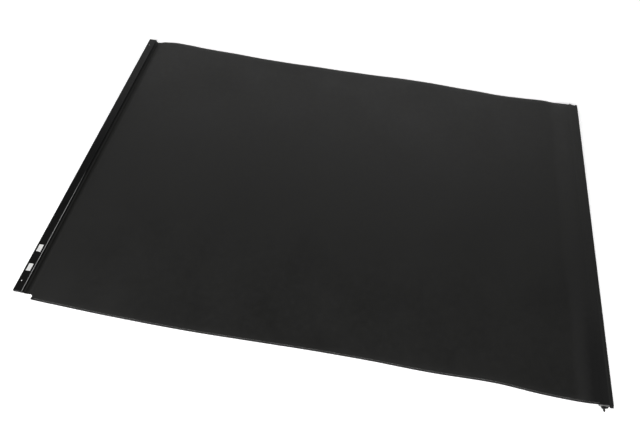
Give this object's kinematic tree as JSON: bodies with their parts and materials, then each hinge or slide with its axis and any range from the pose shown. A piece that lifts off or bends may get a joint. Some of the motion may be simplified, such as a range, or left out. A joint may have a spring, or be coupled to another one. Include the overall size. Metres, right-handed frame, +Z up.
{
  "type": "tonneau cover",
  "caption": "Soft roll-up pickup bed cover laid flat: black vinyl sheet between a front header rail and a rear bar with sprung latch pins at both ends.",
  "frame": {"origin": "middle of the cover's bounding box, on the surface that it lies on", "axes": "+X from the header rail to the rear bar, +Y towards the cover's right side, +Z up"},
  "size_m": [2.46, 1.643, 0.024],
  "materials": {
    "black_aluminium": "satin black powder coat",
    "black_plastic": "moulded, fine grain",
    "dark_steel": "black oxide",
    "grey_steel": "zinc plated",
    "bright_steel": "bright",
    "grey_zinc": "die cast, satin",
    "label_white": "blank paper label",
    "black_rubber": "matt",
    "bead_cord": "plain",
    "black_vinyl": "fine-grained coated vinyl, semi matt"
  },
  "bodies": {
    "header": {"header_rail": "black_aluminium", "header_cap_left": "black_plastic", "header_cap_right": "black_plastic", "header_cap_screws": "dark_steel", "header_nut_blocks": "grey_steel", "header_rivets": "bright_steel", "header_labels": "label_white", "header_seal": "black_rubber", "header_keder": "bead_cord", "sheet_front": "black_vinyl"},
    "strip_01": {"strip_01": "black_vinyl"},
    "strip_02": {"strip_02": "black_vinyl"},
    "strip_03": {"strip_03": "black_vinyl"},
    "strip_04": {"strip_04": "black_vinyl"},
    "strip_05": {"strip_05": "black_vinyl"},
    "strip_06": {"strip_06": "black_vinyl"},
    "strip_07": {"strip_07": "black_vinyl"},
    "strip_08": {"strip_08": "black_vinyl"},
    "strip_09": {"strip_09": "black_vinyl"},
    "strip_10": {"strip_10": "black_vinyl"},
    "strip_11": {"strip_11": "black_vinyl"},
    "strip_12": {"strip_12": "black_vinyl"},
    "strip_13": {"strip_13": "black_vinyl"},
    "strip_14": {"strip_14": "black_vinyl"},
    "strip_15": {"strip_15": "black_vinyl"},
    "strip_16": {"strip_16": "black_vinyl"},
    "strip_17": {"strip_17": "black_vinyl"},
    "strip_18": {"strip_18": "black_vinyl"},
    "strip_19": {"strip_19": "black_vinyl"},
    "strip_20": {"strip_20": "black_vinyl"},
    "strip_21": {"strip_21": "black_vinyl"},
    "strip_22": {"strip_22": "black_vinyl"},
    "strip_23": {"strip_23": "black_vinyl"},
    "strip_24": {"strip_24": "black_vinyl"},
    "strip_25": {"strip_25": "black_vinyl"},
    "strip_26": {"strip_26": "black_vinyl"},
    "strip_27": {"strip_27": "black_vinyl"},
    "strip_28": {"strip_28": "black_vinyl"},
    "strip_29": {"strip_29": "black_vinyl"},
    "strip_30": {"strip_30": "black_vinyl"},
    "strip_31": {"strip_31": "black_vinyl"},
    "strip_32": {"strip_32": "black_vinyl"},
    "rear_bar": {"rear_hem": "black_vinyl", "rear_keder": "bead_cord", "tailgate_seal": "black_rubber", "rear_bar": "black_aluminium", "rear_plug_left": "grey_zinc", "rear_plug_right": "grey_zinc", "rear_plug_screws": "dark_steel", "latch_brackets": "grey_steel", "latch_bracket_screws": "dark_steel", "latch_spring_left": "bright_steel", "latch_spring_right": "bright_steel"},
    "latch_left": {"latch_pin_left": "dark_steel", "latch_clip_left": "bright_steel", "latch_knob_left": "black_plastic"},
    "latch_right": {"latch_pin_right": "dark_steel", "latch_clip_right": "bright_steel", "latch_knob_right": "black_plastic"}
  },
  "joints": [
    {"name": "roll_01", "type": "hinge", "parent": "header", "child": "strip_01", "pos_m": [-1.076, 0, 0.009], "axis": [0, -1, 0], "range_deg": [0, 45]},
    {"name": "roll_02", "type": "hinge", "parent": "strip_01", "child": "strip_02", "pos_m": [-0.9872, 0, 0.009], "axis": [0, -1, 0], "range_deg": [0, 45]},
    {"name": "roll_03", "type": "hinge", "parent": "strip_02", "child": "strip_03", "pos_m": [-0.89959, 0, 0.009], "axis": [0, -1, 0], "range_deg": [0, 45]},
    {"name": "roll_04", "type": "hinge", "parent": "strip_03", "child": "strip_04", "pos_m": [-0.81317, 0, 0.009], "axis": [0, -1, 0], "range_deg": [0, 45]},
    {"name": "roll_05", "type": "hinge", "parent": "strip_04", "child": "strip_05", "pos_m": [-0.72794, 0, 0.009], "axis": [0, -1, 0], "range_deg": [0, 45]},
    {"name": "roll_06", "type": "hinge", "parent": "strip_05", "child": "strip_06", "pos_m": [-0.6439, 0, 0.009], "axis": [0, -1, 0], "range_deg": [0, 45]},
    {"name": "roll_07", "type": "hinge", "parent": "strip_06", "child": "strip_07", "pos_m": [-0.56105, 0, 0.009], "axis": [0, -1, 0], "range_deg": [0, 45]},
    {"name": "roll_08", "type": "hinge", "parent": "strip_07", "child": "strip_08", "pos_m": [-0.47939, 0, 0.009], "axis": [0, -1, 0], "range_deg": [0, 45]},
    {"name": "roll_09", "type": "hinge", "parent": "strip_08", "child": "strip_09", "pos_m": [-0.39893, 0, 0.009], "axis": [0, -1, 0], "range_deg": [0, 45]},
    {"name": "roll_10", "type": "hinge", "parent": "strip_09", "child": "strip_10", "pos_m": [-0.31965, 0, 0.009], "axis": [0, -1, 0], "range_deg": [0, 45]},
    {"name": "roll_11", "type": "hinge", "parent": "strip_10", "child": "strip_11", "pos_m": [-0.24157, 0, 0.009], "axis": [0, -1, 0], "range_deg": [0, 45]},
    {"name": "roll_12", "type": "hinge", "parent": "strip_11", "child": "strip_12", "pos_m": [-0.16467, 0, 0.009], "axis": [0, -1, 0], "range_deg": [0, 45]},
    {"name": "roll_13", "type": "hinge", "parent": "strip_12", "child": "strip_13", "pos_m": [-0.08897, 0, 0.009], "axis": [0, -1, 0], "range_deg": [0, 45]},
    {"name": "roll_14", "type": "hinge", "parent": "strip_13", "child": "strip_14", "pos_m": [-0.01446, 0, 0.009], "axis": [0, -1, 0], "range_deg": [0, 45]},
    {"name": "roll_15", "type": "hinge", "parent": "strip_14", "child": "strip_15", "pos_m": [0.05886, 0, 0.009], "axis": [0, -1, 0], "range_deg": [0, 45]},
    {"name": "roll_16", "type": "hinge", "parent": "strip_15", "child": "strip_16", "pos_m": [0.13099, 0, 0.009], "axis": [0, -1, 0], "range_deg": [0, 45]},
    {"name": "roll_17", "type": "hinge", "parent": "strip_16", "child": "strip_17", "pos_m": [0.20193, 0, 0.009], "axis": [0, -1, 0], "range_deg": [0, 45]},
    {"name": "roll_18", "type": "hinge", "parent": "strip_17", "child": "strip_18", "pos_m": [0.27168, 0, 0.009], "axis": [0, -1, 0], "range_deg": [0, 45]},
    {"name": "roll_19", "type": "hinge", "parent": "strip_18", "child": "strip_19", "pos_m": [0.34024, 0, 0.009], "axis": [0, -1, 0], "range_deg": [0, 45]},
    {"name": "roll_20", "type": "hinge", "parent": "strip_19", "child": "strip_20", "pos_m": [0.4076, 0, 0.009], "axis": [0, -1, 0], "range_deg": [0, 45]},
    {"name": "roll_21", "type": "hinge", "parent": "strip_20", "child": "strip_21", "pos_m": [0.47378, 0, 0.009], "axis": [0, -1, 0], "range_deg": [0, 45]},
    {"name": "roll_22", "type": "hinge", "parent": "strip_21", "child": "strip_22", "pos_m": [0.53876, 0, 0.009], "axis": [0, -1, 0], "range_deg": [0, 45]},
    {"name": "roll_23", "type": "hinge", "parent": "strip_22", "child": "strip_23", "pos_m": [0.60256, 0, 0.009], "axis": [0, -1, 0], "range_deg": [0, 45]},
    {"name": "roll_24", "type": "hinge", "parent": "strip_23", "child": "strip_24", "pos_m": [0.66516, 0, 0.009], "axis": [0, -1, 0], "range_deg": [0, 45]},
    {"name": "roll_25", "type": "hinge", "parent": "strip_24", "child": "strip_25", "pos_m": [0.72657, 0, 0.009], "axis": [0, -1, 0], "range_deg": [0, 45]},
    {"name": "roll_26", "type": "hinge", "parent": "strip_25", "child": "strip_26", "pos_m": [0.78679, 0, 0.009], "axis": [0, -1, 0], "range_deg": [0, 45]},
    {"name": "roll_27", "type": "hinge", "parent": "strip_26", "child": "strip_27", "pos_m": [0.84582, 0, 0.009], "axis": [0, -1, 0], "range_deg": [0, 45]},
    {"name": "roll_28", "type": "hinge", "parent": "strip_27", "child": "strip_28", "pos_m": [0.90366, 0, 0.009], "axis": [0, -1, 0], "range_deg": [0, 45]},
    {"name": "roll_29", "type": "hinge", "parent": "strip_28", "child": "strip_29", "pos_m": [0.96031, 0, 0.009], "axis": [0, -1, 0], "range_deg": [0, 45]},
    {"name": "roll_30", "type": "hinge", "parent": "strip_29", "child": "strip_30", "pos_m": [1.01577, 0, 0.009], "axis": [0, -1, 0], "range_deg": [0, 45]},
    {"name": "roll_31", "type": "hinge", "parent": "strip_30", "child": "strip_31", "pos_m": [1.07004, 0, 0.009], "axis": [0, -1, 0], "range_deg": [0, 45]},
    {"name": "roll_32", "type": "hinge", "parent": "strip_31", "child": "strip_32", "pos_m": [1.12311, 0, 0.009], "axis": [0, -1, 0], "range_deg": [0, 45]},
    {"name": "bar_fold", "type": "hinge", "parent": "strip_32", "child": "rear_bar", "pos_m": [1.175, 0, 0.024], "axis": [0, -1, 0], "range_deg": [0, 171]},
    {"name": "latch_left", "type": "slide", "parent": "rear_bar", "child": "latch_left", "axis": [0, 1, 0], "range_m": [0, 0.014], "stiffness_N_per_m": 600, "springref_m": -0.012, "deforming": ["latch_spring_left"]},
    {"name": "latch_right", "type": "slide", "parent": "rear_bar", "child": "latch_right", "axis": [0, -1, 0], "range_m": [0, 0.014], "stiffness_N_per_m": 600, "springref_m": -0.012, "deforming": ["latch_spring_right"]}
  ]
}
